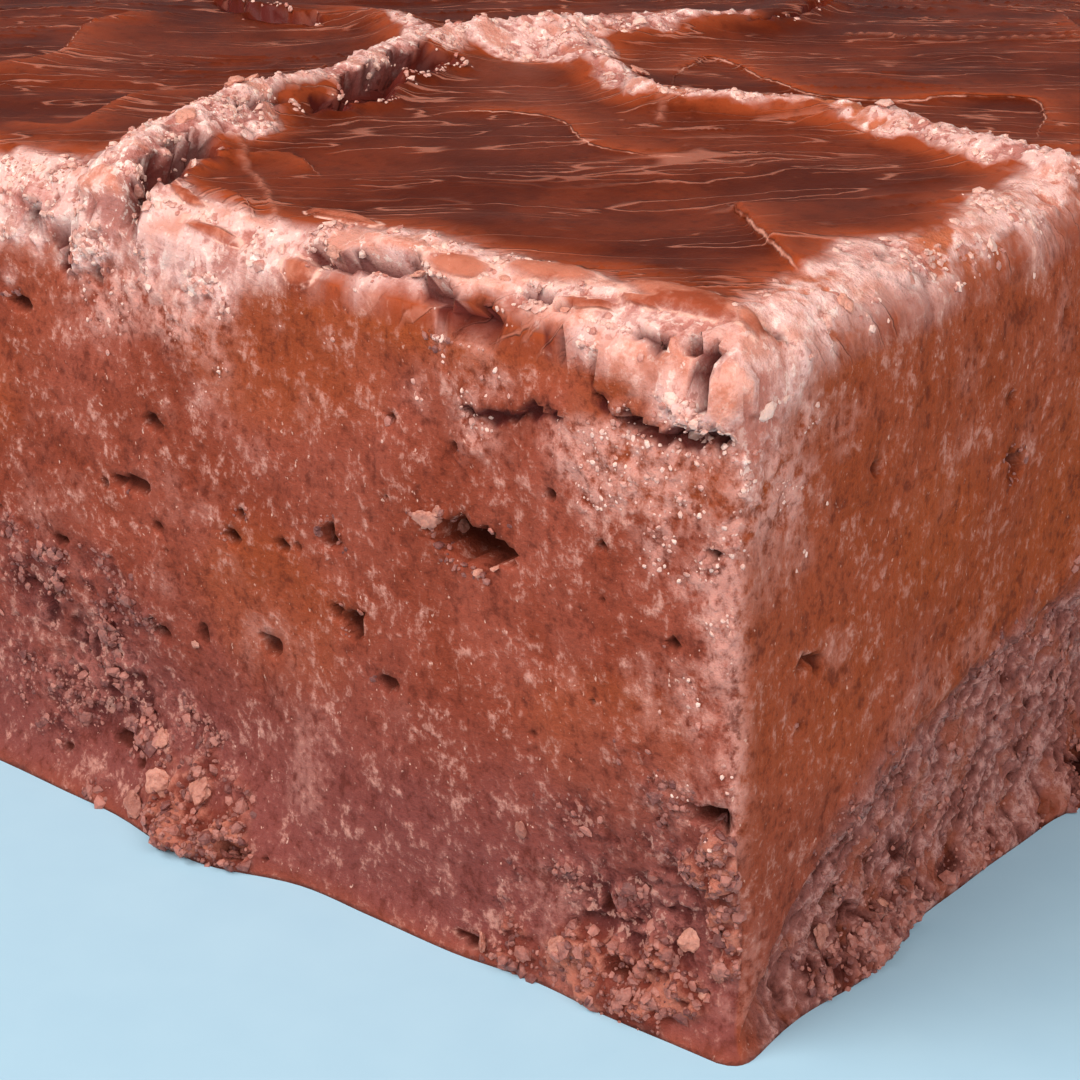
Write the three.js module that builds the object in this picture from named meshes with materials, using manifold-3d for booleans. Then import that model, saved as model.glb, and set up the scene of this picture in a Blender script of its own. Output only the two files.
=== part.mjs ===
// A slab of chocolate fudge: four knife-cut sides, a flat base and, on top, the skin that the batch set with.
// Millimetres, +Z up. The origin is the centre of the base's bounding box.
// Positions on the surface are measured from the near corner, where the +X and -Y sides meet:
// u runs along -X, v along +Y and z up from the base.

import * as THREE from "three";
import { mergeVertices } from "three/addons/utils/BufferGeometryUtils.js";
import Module from "manifold-3d";

// Driving dimensions.
const LENGTH = 80; // along X
const WIDTH = 72; // along Y
const HEIGHT = 32; // base to skin, before the skin's own relief

// Rounding of the edges.
const RIM_ROUND = 3; // top edges, where the skin rolls over and crumbles
const CORNER_ROUND = 1.2; // upright edges
const SIDE_REACH = 5; // how far a side's relief carries in under the skin
const RELIEF_START = 0.55; // share of the height from which the skin's relief lifts the sides too

// Surface grid.
const CELL = 2.2;
const EDGE_STEPS = [0, 0.4, 1.1, 2.1]; // distances from an edge of the closer grid lines there
const BASE_STEPS = [0, 1.1, 2.1, 3.5];
const SUNK = 0.5; // the grid starts this far under the base, which is then cut flat

// The skin on top.
const CROWN = 0.5; // rise of the middle over the rim
const ROLL = 0.35; // long, low waves
// A ridge is a fold where the skin has broken: [u, v] points along its crest, its height, its half width and
// the share of its height that is gone at its far end.
const RIDGES = [
  {
    points: [[34, -3.2], [36.2, 2.7], [38.6, 12.5], [38.2, 20], [40, 28.5], [37.2, 35.3]],
    height: 1.5, spread: 2,
  },
  {
    points: [[-3, 28.4], [5.5, 28.8], [12, 30.5], [18, 30.6], [24, 27.4], [30, 30.6], [37.2, 35.3]],
    height: 1.0, spread: 1.6,
  },
  { points: [[37.2, 35.3], [33.5, 43], [32, 51], [35, 59], [31, 66]], height: 1.3, spread: 2.2, fade: 1 },
  { points: [[40, 28.5], [49, 34], [58, 33], [66, 37], [72, 44]], height: 1.1, spread: 1.8, fade: 1 },
];
const RIDGE_SAMPLES = 60;

// The cut sides.
const WANDER = 0.45; // how far the knife wandered
const LIP_OUT = 0.5; // the smooth foot that the batch's underside leaves
const LIP_RISE = 1.1;
const TEAR_DEPTH = 0.8; // step where the lower part of a side tore instead of cutting
const TEAR_SOFT = 1.8;

// Each side has its direction, what its places are measured along, a seed for its waves, and patches
// (place along, height, half width, half height, outward). A side that tore has the tear's height and run.
const SIDES = [
  {
    name: "front", direction: [0, -1], along: "u", seed: 1,
    patches: [[4, 5, 8, 5, -0.8], [35.5, 7, 8, 4.5, -1], [30, 0.5, 5.5, 2.4, 1.6], [58, 6, 9, 5, -0.9]],
  },
  {
    name: "right", direction: [1, 0], along: "v", seed: 2,
    patches: [[9.5, 1, 4, 2.2, 0.7], [31, 0.8, 2.5, 2, 1.1], [52, 7, 8, 4, -0.7]],
    tear: { height: 14, run: 8 },
  },
  {
    name: "back", direction: [0, 1], along: "u", seed: 3,
    patches: [[18, 6, 9, 5, -0.9], [44, 1, 5, 2.4, 1.5], [64, 7, 8, 4.5, -0.8]],
  },
  {
    name: "left", direction: [-1, 0], along: "v", seed: 4,
    patches: [[20, 6, 7, 5, -0.8], [48, 1, 6, 2.2, 1.2]],
    tear: { height: 12, run: 15 },
  },
];

// Air pockets that the knife opened: the side, the place along it, the height above the base,
// and radii along, up and into the side.
const POCKETS = [
  { side: "front", along: 14, z: 20, radii: [1.7, 0.95, 2.1] },
  { side: "front", along: 22, z: 18.3, radii: [0.6, 0.7, 0.9] },
  { side: "front", along: 21, z: 14.5, radii: [0.9, 0.6, 0.9] },
  { side: "front", along: 1.6, z: 11.2, radii: [1.2, 0.7, 1.3] },
  { side: "right", along: 21.5, z: 20.5, radii: [0.9, 0.8, 0.9] },
  { side: "back", along: 33, z: 17, radii: [1.3, 0.8, 1.5] },
  { side: "left", along: 40, z: 19, radii: [1.2, 0.9, 1.3] },
];

const FUDGE_BROWN = 0x9c5340;

const HALF = { x: LENGTH / 2, y: WIDTH / 2 };

const clamp01 = (t) => Math.min(1, Math.max(0, t));

const smoothstep = (t) => {
  const s = clamp01(t);
  return s * s * (3 - 2 * s);
};

const bell = (t) => Math.exp(-t * t);

// A fixed, scattered value between -1 and 1 for each whole-number place.
function scatter(i, j, seed) {
  const s = Math.sin(127.1 * i + 311.7 * j + 74.7 * seed) * 43758.5453;
  return 2 * (s - Math.floor(s)) - 1;
}

// Smooth noise over two coordinates: the scattered values, blended between whole-number places.
function noise(a, b, seed) {
  const i = Math.floor(a);
  const j = Math.floor(b);
  const s = smoothstep(a - i);
  const t = smoothstep(b - j);
  const near = scatter(i, j, seed) * (1 - s) + scatter(i + 1, j, seed) * s;
  const far = scatter(i, j + 1, seed) * (1 - s) + scatter(i + 1, j + 1, seed) * s;
  return near * (1 - t) + far * t;
}

// Long, irregular waves in millimetres of place.
const wander = (a, b, seed) => 0.65 * noise(a / 13, b / 13, seed) + 0.35 * noise(a / 6, b / 6, seed + 10);

// How far a side stands out, past its flat plane, at a place along it and a height.
function sideRelief(side, along, z) {
  let out = WANDER * wander(along, z, side.seed);
  out += LIP_OUT * bell(z / LIP_RISE) * (0.75 + 0.5 * noise(along / 5, 0, side.seed));
  for (const [a, h, halfWidth, halfHeight, amount] of side.patches)
    out += amount * bell(Math.hypot((along - a) / halfWidth, (z - h) / halfHeight));
  if (side.tear) {
    const top = side.tear.height * (1 - Math.exp(-(Math.max(along, 0) + 0.5) / side.tear.run));
    out -= TEAR_DEPTH * smoothstep((top - z) / TEAR_SOFT) * smoothstep(z / (2 * LIP_RISE));
  }
  return out;
}

const ridgeLines = RIDGES.map(({ points, height, spread, fade = 0 }) => {
  const curve = new THREE.CatmullRomCurve3(points.map(([u, v]) => new THREE.Vector3(u, v, 0)));
  return { height, spread, fade, samples: curve.getPoints(RIDGE_SAMPLES) };
});

// Height of the folds at (u, v): each falls away from its crest, and the highest one counts.
function ridgeRelief(u, v) {
  let highest = 0;
  for (const { height, spread, fade, samples } of ridgeLines) {
    samples.forEach((sample, i) => {
      const crest = height * (1 - fade * smoothstep(i / RIDGE_SAMPLES));
      const distance = Math.hypot(sample.x - u, sample.y - v);
      highest = Math.max(highest, crest * bell(distance / spread));
    });
  }
  return highest;
}

function skinRelief(x, y, u, v) {
  const crown = CROWN * (1 - (x / HALF.x) ** 2) * (1 - (y / HALF.y) ** 2);
  return crown + ROLL * wander(u, v, 5) + ridgeRelief(u, v);
}

// Rounds the upright edges: the corner squares of the plan become quarter discs.
function roundPlan(x, y) {
  const cx = THREE.MathUtils.clamp(x, CORNER_ROUND - HALF.x, HALF.x - CORNER_ROUND);
  const cy = THREE.MathUtils.clamp(y, CORNER_ROUND - HALF.y, HALF.y - CORNER_ROUND);
  const dx = x - cx;
  const dy = y - cy;
  const reach = Math.hypot(dx, dy);
  const scale = reach > 0 ? Math.max(Math.abs(dx), Math.abs(dy)) / reach : 1;
  return [cx + dx * scale, cy + dy * scale];
}

// Moves a point of the plain block's surface to the fudge's surface.
function shape(x, y, z) {
  const u = HALF.x - x;
  const v = HALF.y + y;
  const inset = { front: v, right: u, back: HALF.y - y, left: HALF.x + x };
  const nearest = Math.min(...Object.values(inset));

  const rimDrop = RIM_ROUND * (1 - Math.sqrt(1 - clamp01(1 - nearest / RIM_ROUND) ** 2));
  const share = z / HEIGHT;
  const lift = smoothstep((share - RELIEF_START) / (1 - RELIEF_START));
  const height = z - clamp01(share) * rimDrop + lift * skinRelief(x, y, u, v);

  let [px, py] = roundPlan(x, y);
  for (const side of SIDES) {
    const weight = smoothstep(1 - inset[side.name] / SIDE_REACH);
    if (weight === 0) continue;
    const out = weight * sideRelief(side, side.along === "u" ? u : v, z);
    px += side.direction[0] * out;
    py += side.direction[1] * out;
  }
  return [px, py, height];
}

// Grid lines across a span: closer beside the two ends, and even between them.
function gridLines(from, to, startSteps, endSteps) {
  const first = from + startSteps.at(-1);
  const last = to - endSteps.at(-1);
  const count = Math.round((last - first) / CELL);
  const middle = Array.from({ length: count - 1 }, (_, i) => first + ((last - first) * (i + 1)) / count);
  return [...startSteps.map((s) => from + s), ...middle, ...endSteps.toReversed().map((s) => to - s)];
}

// The block's surface as one closed grid, moved to its real shape.
function blockGeometry() {
  const lines = [
    gridLines(-HALF.x, HALF.x, EDGE_STEPS, EDGE_STEPS),
    gridLines(-HALF.y, HALF.y, EDGE_STEPS, EDGE_STEPS),
    gridLines(-SUNK, HEIGHT, BASE_STEPS, [0]),
  ];
  const counts = lines.map((l) => l.length - 1);
  const box = new THREE.BoxGeometry(1, 1, 1, ...counts);
  box.deleteAttribute("normal");
  box.deleteAttribute("uv");
  const geometry = mergeVertices(box, 1e-5);
  const position = geometry.getAttribute("position");
  for (let i = 0; i < position.count; i++) {
    const shares = [position.getX(i), position.getY(i), position.getZ(i)];
    const place = shares.map((s, axis) => lines[axis][Math.round((s + 0.5) * counts[axis])]);
    position.setXYZ(i, ...shape(...place));
  }
  return geometry;
}

// An opened air pocket: a lumpy ellipsoid centred just inside its side's surface.
function pocketGeometry({ side: name, along, z, radii }) {
  const side = SIDES.find((s) => s.name === name);
  const [dx, dy] = side.direction;
  const half = dx === 0 ? HALF.y : HALF.x;
  const depth = half + sideRelief(side, along, z) - radii[2] * 0.3;
  const place = dx === 0 ? [HALF.x - along, dy * depth] : [dx * depth, along - HALF.y];
  const geometry = new THREE.IcosahedronGeometry(1, 2);
  geometry.deleteAttribute("normal");
  geometry.deleteAttribute("uv");
  const ball = mergeVertices(geometry, 1e-5);
  const position = ball.getAttribute("position");
  for (let i = 0; i < position.count; i++) {
    const p = new THREE.Vector3().fromBufferAttribute(position, i);
    p.multiplyScalar(1 + 0.25 * noise(1.5 * p.x + along, 1.5 * p.y + z, 6));
    position.setXYZ(i, p.x, p.y, p.z);
  }
  ball.scale(...(dx === 0 ? [radii[0], radii[2], radii[1]] : [radii[2], radii[0], radii[1]]));
  ball.translate(place[0], place[1], z);
  return ball;
}

const wasm = await Module();
wasm.setup();

function solidOf(geometry) {
  const vertProperties = new Float32Array(geometry.getAttribute("position").array);
  const triVerts = new Uint32Array(geometry.index.array);
  return new wasm.Manifold(new wasm.Mesh({ numProp: 3, vertProperties, triVerts }));
}

function geometryOf(solid) {
  const { vertProperties, triVerts } = solid.getMesh();
  const geometry = new THREE.BufferGeometry();
  geometry.setAttribute("position", new THREE.BufferAttribute(vertProperties, 3));
  geometry.setIndex(new THREE.BufferAttribute(triVerts, 1));
  return geometry;
}

// Everything above the base plane, with room to spare.
function aboveBase() {
  const room = new THREE.BoxGeometry(2 * LENGTH, 2 * WIDTH, 2 * HEIGHT);
  room.deleteAttribute("normal");
  room.deleteAttribute("uv");
  return mergeVertices(room).translate(0, 0, HEIGHT);
}

function fudgeGeometry() {
  let solid = solidOf(blockGeometry()).intersect(solidOf(aboveBase()));
  for (const pocket of POCKETS) solid = solid.subtract(solidOf(pocketGeometry(pocket)));
  const geometry = geometryOf(solid);
  geometry.computeBoundingBox();
  const centre = geometry.boundingBox.getCenter(new THREE.Vector3());
  geometry.translate(-centre.x, -centre.y, -geometry.boundingBox.min.z);
  geometry.computeVertexNormals();
  return geometry;
}

const fudge = new THREE.Mesh(
  fudgeGeometry(),
  new THREE.MeshStandardMaterial({ color: FUDGE_BROWN, roughness: 0.55, metalness: 0 }),
);
fudge.name = "fudge_block";

const group = new THREE.Group();
group.add(fudge);

export default group;
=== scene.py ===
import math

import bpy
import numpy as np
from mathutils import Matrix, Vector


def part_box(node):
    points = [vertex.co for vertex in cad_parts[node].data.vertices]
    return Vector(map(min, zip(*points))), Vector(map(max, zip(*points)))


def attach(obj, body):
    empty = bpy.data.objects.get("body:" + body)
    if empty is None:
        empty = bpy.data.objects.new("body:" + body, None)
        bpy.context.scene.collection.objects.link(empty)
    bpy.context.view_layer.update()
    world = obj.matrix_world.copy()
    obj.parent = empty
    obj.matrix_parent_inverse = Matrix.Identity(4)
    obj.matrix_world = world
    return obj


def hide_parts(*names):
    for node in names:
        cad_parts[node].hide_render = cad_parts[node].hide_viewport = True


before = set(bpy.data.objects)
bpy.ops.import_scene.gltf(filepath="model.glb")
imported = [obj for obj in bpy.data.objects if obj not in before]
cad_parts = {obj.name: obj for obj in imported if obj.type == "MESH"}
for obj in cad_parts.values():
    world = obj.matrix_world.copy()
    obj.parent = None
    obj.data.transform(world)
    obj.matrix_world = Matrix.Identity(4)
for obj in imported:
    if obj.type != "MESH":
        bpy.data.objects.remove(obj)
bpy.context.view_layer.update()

# A slab of chocolate fudge: four knife-cut sides, a grainy rim and a wrinkled, folded skin on top.
# Sizes are in millimetres until a mesh is made. Places are measured from the near corner, where the
# +X and -Y sides meet: u runs along -X, v along +Y, and z up from the base.

scene = bpy.context.scene
rng = np.random.default_rng(1907)
MM = 0.001

# The CAD block's own shape.
LENGTH, WIDTH, HEIGHT = 80.0, 72.0, 32.0
RIM_ROUND = 3.0
CORNER_ROUND = 1.2
SIDE_REACH = 5.0
RELIEF_START = 0.55
CROWN = 0.5
ROLL = 0.35
RIDGES = [
    dict(
        points=[(34, -3.2), (36.2, 2.7), (38.6, 12.5), (38.2, 20), (40, 28.5), (37.2, 35.3)],
        height=1.5, spread=2.0,
    ),
    dict(
        points=[(-3, 28.4), (5.5, 28.8), (12, 30.5), (18, 30.6), (24, 27.4), (30, 30.6), (37.2, 35.3)],
        height=1.0, spread=1.6,
    ),
    dict(points=[(37.2, 35.3), (33.5, 43), (32, 51), (35, 59), (31, 66)], height=1.3, spread=2.2, fade=1),
    dict(points=[(40, 28.5), (49, 34), (58, 33), (66, 37), (72, 44)], height=1.1, spread=1.8, fade=1),
]
WANDER = 0.45
LIP_OUT = 0.5
LIP_RISE = 1.1
TEAR_DEPTH = 0.8
TEAR_SOFT = 1.8
FRONT, RIGHT, BACK, LEFT, TOP = range(5)
SIDES = [
    dict(
        face=FRONT, direction=(0, -1), seed=1,
        patches=[(4, 5, 8, 5, -0.8), (35.5, 7, 8, 4.5, -1), (30, 0.5, 5.5, 2.4, 1.6), (58, 6, 9, 5, -0.9)],
    ),
    dict(
        face=RIGHT, direction=(1, 0), seed=2, tear=(14, 8),
        patches=[(9.5, 1, 4, 2.2, 0.7), (31, 0.8, 2.5, 2, 1.1), (52, 7, 8, 4, -0.7)],
    ),
    dict(
        face=BACK, direction=(0, 1), seed=3,
        patches=[(18, 6, 9, 5, -0.9), (44, 1, 5, 2.4, 1.5), (64, 7, 8, 4.5, -0.8)],
    ),
    dict(
        face=LEFT, direction=(-1, 0), seed=4, tear=(12, 15),
        patches=[(20, 6, 7, 5, -0.8), (48, 1, 6, 2.2, 1.2)],
    ),
]
HALF_X, HALF_Y = LENGTH / 2, WIDTH / 2


def smooth(t):
    t = np.clip(t, 0, 1)
    return t * t * (3 - 2 * t)


def bell(t):
    return np.exp(-t * t)


def mix(a, b, t):
    return a * (1 - t) + b * t


def scatter(i, j, k):
    """A fixed, scattered value between -1 and 1 for each whole-number place."""
    s = np.sin(127.1 * i + 311.7 * j + 74.7 * k) * 43758.5453
    return 2 * (s - np.floor(s)) - 1


def noise2(a, b, seed):
    """Smooth noise over two coordinates, the same as the CAD block's."""
    i, j = np.floor(a), np.floor(b)
    s, t = smooth(a - i), smooth(b - j)
    near = mix(scatter(i, j, seed), scatter(i + 1, j, seed), s)
    far = mix(scatter(i, j + 1, seed), scatter(i + 1, j + 1, seed), s)
    return mix(near, far, t)


def noise3(p, size, seed):
    """Smooth noise between -1 and 1 over points; size is its grain in mm, one number or one per axis."""
    q = p / np.asarray(size, float) + 31.7 * seed
    cell = np.floor(q)
    share = smooth(q - cell)
    total = np.zeros(len(p))
    for corner in np.ndindex(2, 2, 2):
        weight = np.prod(np.where(corner, share, 1 - share), axis=1)
        total += weight * scatter(*(cell + corner).T)
    return total


TURN = np.array([[0.36, 0.48, -0.8], [-0.8, 0.6, 0.0], [0.48, 0.64, 0.6]])


def fractal(p, size, seed, octaves=3):
    """Noise with finer noise on it, each octave turned so that no grid shows."""
    total, weight, reach = 0.0, 1.0, 0.0
    for octave in range(octaves):
        total = total + weight * noise3(p, size, seed + octave)
        reach += weight
        p = p @ TURN.T
        size = size / 2.07
        weight /= 2
    return total / reach * 1.4


def cells(p, size, seed):
    """For each point: how far its nearest and second nearest seeds are, in cell sizes, the nearest's own
    number, and how high the point is on a facet through the seed, tilted the cell's own way."""
    q = p / np.asarray(size, float) + 17.3 * seed
    cell = np.floor(q)
    first, second = np.full(len(p), 9.0), np.full(len(p), 9.0)
    own, facet = np.zeros(len(p)), np.zeros(len(p))
    for offset in np.ndindex(3, 3, 3):
        c = cell + offset - 1
        i, j, k = c.T
        place = c + 0.5 + 0.5 * np.stack([scatter(i, j, k), scatter(j, k, i), scatter(k, i, j)], axis=1)
        distance = np.linalg.norm(q - place, axis=1)
        closer = distance < first
        second = np.where(closer, first, np.minimum(second, distance))
        own = np.where(closer, 0.5 + 0.5 * scatter(i + 5, j + 9, k + 3), own)
        tilt = np.stack([scatter(i + 7, k, j), scatter(k, i + 7, j), scatter(j, k + 7, i)], axis=1)
        facet = np.where(closer, np.sum(tilt * (q - place), axis=1), facet)
        first = np.where(closer, distance, first)
    return first, second, own, facet


PATH_STEP = 0.3


def smooth_path(points):
    """Points along a smooth curve through the given ones."""
    p = np.array([points[0], *points, points[-1]], float)
    made = []
    for a, b, c, d in zip(p, p[1:], p[2:], p[3:]):
        count = max(2, int(np.linalg.norm(c - b) / PATH_STEP))
        t = np.linspace(0, 1, count, endpoint=False)[:, None]
        made.append(b + t * ((c - a) + t * (2 * a - 5 * b + 4 * c - d + t * (3 * b - a - 3 * c + d))) / 2)
    return np.vstack([*made, p[-1:]])


def path_distance(a, b, points, reach):
    """Distance to a path, which side of it (left is positive) and how far along it; only within reach."""
    path = smooth_path(points)
    tangent = np.gradient(path, axis=0)
    run = np.concatenate([[0], np.cumsum(np.linalg.norm(np.diff(path, axis=0), axis=1))])
    low, high = path.min(0) - reach, path.max(0) + reach
    near = np.flatnonzero((a > low[0]) & (a < high[0]) & (b > low[1]) & (b < high[1]))
    distance, side, along = np.full(len(a), 99.0), np.zeros(len(a)), np.zeros(len(a))
    if len(near):
        da = a[near, None] - path[:, 0]
        db = b[near, None] - path[:, 1]
        best = np.argmin(da * da + db * db, axis=1)
        rows = np.arange(len(near))
        ta, tb = tangent[best].T
        ga, gb = da[rows, best], db[rows, best]
        distance[near] = np.hypot(ga, gb)
        side[near] = np.sign(ta * gb - tb * ga)
        along[near] = run[best]
    return distance, side, along / run[-1]


def tear_top(side, along):
    """How high up a side its torn lower part reaches."""
    tear_height, tear_run = side["tear"]
    return tear_height * (1 - np.exp(-(np.maximum(along, 0) + 0.5) / tear_run))


def side_relief(side, along, z):
    """How far a side stands out past its flat plane: the same as the CAD block's."""
    seed = side["seed"]
    out = WANDER * (0.65 * noise2(along / 13, z / 13, seed) + 0.35 * noise2(along / 6, z / 6, seed + 10))
    out = out + LIP_OUT * bell(z / LIP_RISE) * (0.75 + 0.5 * noise2(along / 5, 0 * along, seed))
    for a, h, half_width, half_height, amount in side["patches"]:
        out = out + amount * bell(np.hypot((along - a) / half_width, (z - h) / half_height))
    if "tear" in side:
        torn = smooth((tear_top(side, along) - z) / TEAR_SOFT)
        out = out - TEAR_DEPTH * torn * smooth(z / (2 * LIP_RISE))
    return out


def ridge_relief(u, v):
    highest = np.zeros(len(u))
    for ridge in RIDGES:
        distance, _, share = path_distance(u, v, ridge["points"], 3 * ridge["spread"])
        crest = ridge["height"] * (1 - ridge.get("fade", 0) * smooth(share))
        highest = np.maximum(highest, crest * bell(distance / ridge["spread"]))
    return highest


def insets(x, y):
    """How far points are in from each side."""
    return [HALF_Y + y, HALF_X - x, HALF_Y - y, HALF_X + x]


def block_shape(x, y, z):
    """Moves points of the plain block's surface to the CAD block's surface."""
    u, v = HALF_X - x, HALF_Y + y
    inset = insets(x, y)
    nearest = np.min(inset, axis=0)
    drop = RIM_ROUND * (1 - np.sqrt(1 - np.clip(1 - nearest / RIM_ROUND, 0, 1) ** 2))
    share = z / HEIGHT
    lift = smooth((share - RELIEF_START) / (1 - RELIEF_START))
    skin = CROWN * (1 - (x / HALF_X) ** 2) * (1 - (y / HALF_Y) ** 2)
    skin = skin + ROLL * (0.65 * noise2(u / 13, v / 13, 5) + 0.35 * noise2(u / 6, v / 6, 15))
    skin = skin + ridge_relief(u, v)
    height = z - share * drop + lift * skin

    cx = np.clip(x, CORNER_ROUND - HALF_X, HALF_X - CORNER_ROUND)
    cy = np.clip(y, CORNER_ROUND - HALF_Y, HALF_Y - CORNER_ROUND)
    dx, dy = x - cx, y - cy
    reach = np.hypot(dx, dy)
    scale = np.where(reach > 0, np.maximum(abs(dx), abs(dy)) / np.maximum(reach, 1e-9), 1)
    px, py = cx + dx * scale, cy + dy * scale
    for side, depth in zip(SIDES, inset):
        weight = smooth(1 - depth / SIDE_REACH)
        out = weight * side_relief(side, u if side["direction"][0] == 0 else v, z)
        px = px + side["direction"][0] * out
        py = py + side["direction"][1] * out
    return np.stack([px, py, height], axis=1)


# ---- The surface grid ----

FINE = 0.24
COARSE = 0.5
FINE_REACH = 46.0
STEP_UP = 0.26


def grid_lines(length):
    """Places along a length, close together near the corner and then wider and wider apart."""
    made, at = [], 0.0
    while at < length - FINE / 2:
        made.append(at)
        at += min(COARSE, FINE * (1 + max(0, at - FINE_REACH) / 4))
    return np.array([*made, length])


def block_surface():
    """The plain block's surface, open below: points, quads, each point's face and the ring round its foot."""
    xs = HALF_X - grid_lines(LENGTH)[::-1]
    ys = grid_lines(WIDTH) - HALF_Y
    zs = np.linspace(0, HEIGHT, round(HEIGHT / STEP_UP) + 1)
    ni, nj, nk = len(xs), len(ys), len(zs)

    def sheet(i, j, k, turned):
        key = (i * nj + j) * nk + k
        quads = np.stack([key[:-1, :-1], key[1:, :-1], key[1:, 1:], key[:-1, 1:]], axis=-1).reshape(-1, 4)
        return quads[:, ::-1] if turned else quads

    i, j, k = np.arange(ni), np.arange(nj), np.arange(nk)
    iz, kz = np.meshgrid(i, k, indexing="ij")
    jz, lz = np.meshgrid(j, k, indexing="ij")
    it, jt = np.meshgrid(i, j, indexing="ij")
    sheets = [
        sheet(iz, 0 * iz, kz, False),
        sheet(0 * jz + ni - 1, jz, lz, False),
        sheet(iz, 0 * iz + nj - 1, kz, True),
        sheet(0 * jz, jz, lz, True),
        sheet(it, jt, 0 * it + nk - 1, False),
    ]
    keys, quads = np.unique(np.vstack(sheets), return_inverse=True)
    quads = quads.reshape(-1, 4)
    face = np.full(len(keys), TOP)
    start = len(quads)
    for number in reversed(range(5)):
        start -= len(sheets[number])
        face[quads[start:start + len(sheets[number])]] = number
    gi, gj, gk = keys // (nj * nk), keys // nk % nj, keys % nk
    around = (
        [(a, 0) for a in range(ni - 1)] + [(ni - 1, b) for b in range(nj - 1)]
        + [(a, nj - 1) for a in range(ni - 1, 0, -1)] + [(0, b) for b in range(nj - 1, 0, -1)]
    )
    ring = np.searchsorted(keys, [(a * nj + b) * nk for a, b in around])
    points = np.stack([xs[gi], ys[gj], zs[gk]], axis=1)
    return points, quads, face, ring


def point_normals(points, quads):
    """Each point's outward direction and the area round it."""
    across = np.cross(points[quads[:, 2]] - points[quads[:, 0]], points[quads[:, 3]] - points[quads[:, 1]])
    total = np.zeros_like(points)
    for corner in range(4):
        for axis in range(3):
            total[:, axis] += np.bincount(quads[:, corner], across[:, axis], len(points))
    length = np.linalg.norm(total, axis=1)
    return total / np.maximum(length, 1e-12)[:, None], length / 4


base, quads, face, ring = block_surface()
x, y, z = base.T
u, v = HALF_X - x, HALF_Y + y
surface = block_shape(x, y, z)
cad_low, cad_high = [np.array(c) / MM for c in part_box("fudge_block")]
shift = (cad_low + cad_high) / 2 - (surface.min(0) + surface.max(0)) / 2
shift[2] = 0
surface += shift
normals, _ = point_normals(surface, quads)

inset = np.array(insets(x, y))
nearest_side = np.argmin(inset, axis=0)
strip = np.where(face == TOP, nearest_side, face)
along = np.where((strip == FRONT) | (strip == BACK), u, v)
is_top = face == TOP
is_side = ~is_top
# Height under the rounding. Then how far a point is past the top edge: in over the skin, or down a side
# (below zero). Then the height up the front, going on over its rim and the skin.
level = z * (1 - RIM_ROUND / HEIGHT)
rounding = np.clip(1 - inset.min(0) / RIM_ROUND, 0, 1)
crown = HEIGHT - RIM_ROUND * (1 - np.sqrt(1 - rounding ** 2))
over = np.where(is_top, crown + inset.min(0), level) - HEIGHT
tall = np.where(is_top, crown + inset[FRONT], level)
p = np.where(is_top[:, None], base, np.stack([x, y, level], axis=1))
z = level

# ---- Where each look is ----

# Ragged edges share these noises.
coarse = fractal(p, 4.0, 1, 3)
mid = fractal(p, 1.6, 5, 3)
fine = fractal(p, 0.7, 9, 2)

# The rim: how far the grainy edge comes in over the skin and down each side.
far_rim = 2.0 + 2.4 * noise3(p, 9.0, 83)
rim_in = np.choose(strip, [
    3.3 - 2.0 * smooth((u - 18) / 7) + 1.5 * smooth((u - 30) / 5),
    3.4 + 0.8 * noise3(p, 7.0, 85),
    far_rim, far_rim,
])
rim_in = np.where((strip == FRONT) & (u > 44), far_rim, rim_in)
rim_down = np.choose(strip, [
    0.6 + 3.4 * bell(u / 8) + 3.4 * smooth((u - 22) / 6),
    0.6 + 5.0 * bell(v / 4.5), 1.8 + 0 * u, 1.8 + 0 * v,
])
fade = np.choose(strip, [2.2 + 0 * u, 2.2 + 3.0 * smooth((v - 3) / 6), 4.0 + 0 * u, 4.0 + 0 * v])
rim = np.where(
    over > 0,
    smooth((rim_in + 0.9 * coarse + 0.4 * mid - over) / 0.9 + 0.5),
    smooth((rim_down + 1.8 * coarse + 1.6 * mid + over) / fade + 0.5),
)

# The crumbling crests of the folds.
CREST_HALF = [2.5, 1.6, 1.9, 1.4]
crest, crest_side = np.zeros((2, len(p)))
for ridge, half in zip(RIDGES, CREST_HALF):
    distance, side, share = path_distance(u + 0.5 * mid, v + 0.5 * mid, ridge["points"], 7)
    width = half * (0.8 + 0.65 * noise2(share * 11, 0 * share, 7)) + 0.9 * coarse
    width = width - ridge.get("fade", 0) * 4 * smooth(share / 0.8)
    crest = np.maximum(crest, smooth((width - distance) / 0.45 + 0.5))
    crest_side = np.maximum(crest_side, smooth((width + 1.8 - distance) / 1.8))
crest *= is_top
crest_side *= is_top
loose = np.maximum(rim, crest)

# Crumbling patches on the sides: (side, place along, height, half width, half height).
CRUMB_PATCHES = [
    (FRONT, 4.5, 4.2, 8.5, 7.0), (FRONT, 39, 7, 9.5, 7.0), (FRONT, 52, 5, 9, 5), (FRONT, 30.5, 1.5, 6.5, 3.0),
    (FRONT, 70, 6, 7, 5), (RIGHT, 60, 4, 9, 4), (BACK, 18, 5, 10, 6), (BACK, 45, 2, 8, 3.5),
    (BACK, 66, 7, 9, 5), (LEFT, 50, 2, 9, 3.5),
]
# Paler, finely grained patches.
PALE_PATCHES = [
    (FRONT, 7, 25.8, 10, 4.0), (FRONT, 32, 27, 9, 3.5), (FRONT, 0, 19, 3.2, 9), (RIGHT, 1.5, 26, 4.5, 5),
    (FRONT, 55, 27, 8, 3), (BACK, 10, 26, 10, 3.5), (BACK, 50, 25, 9, 4), (LEFT, 30, 26, 9, 3),
]


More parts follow.
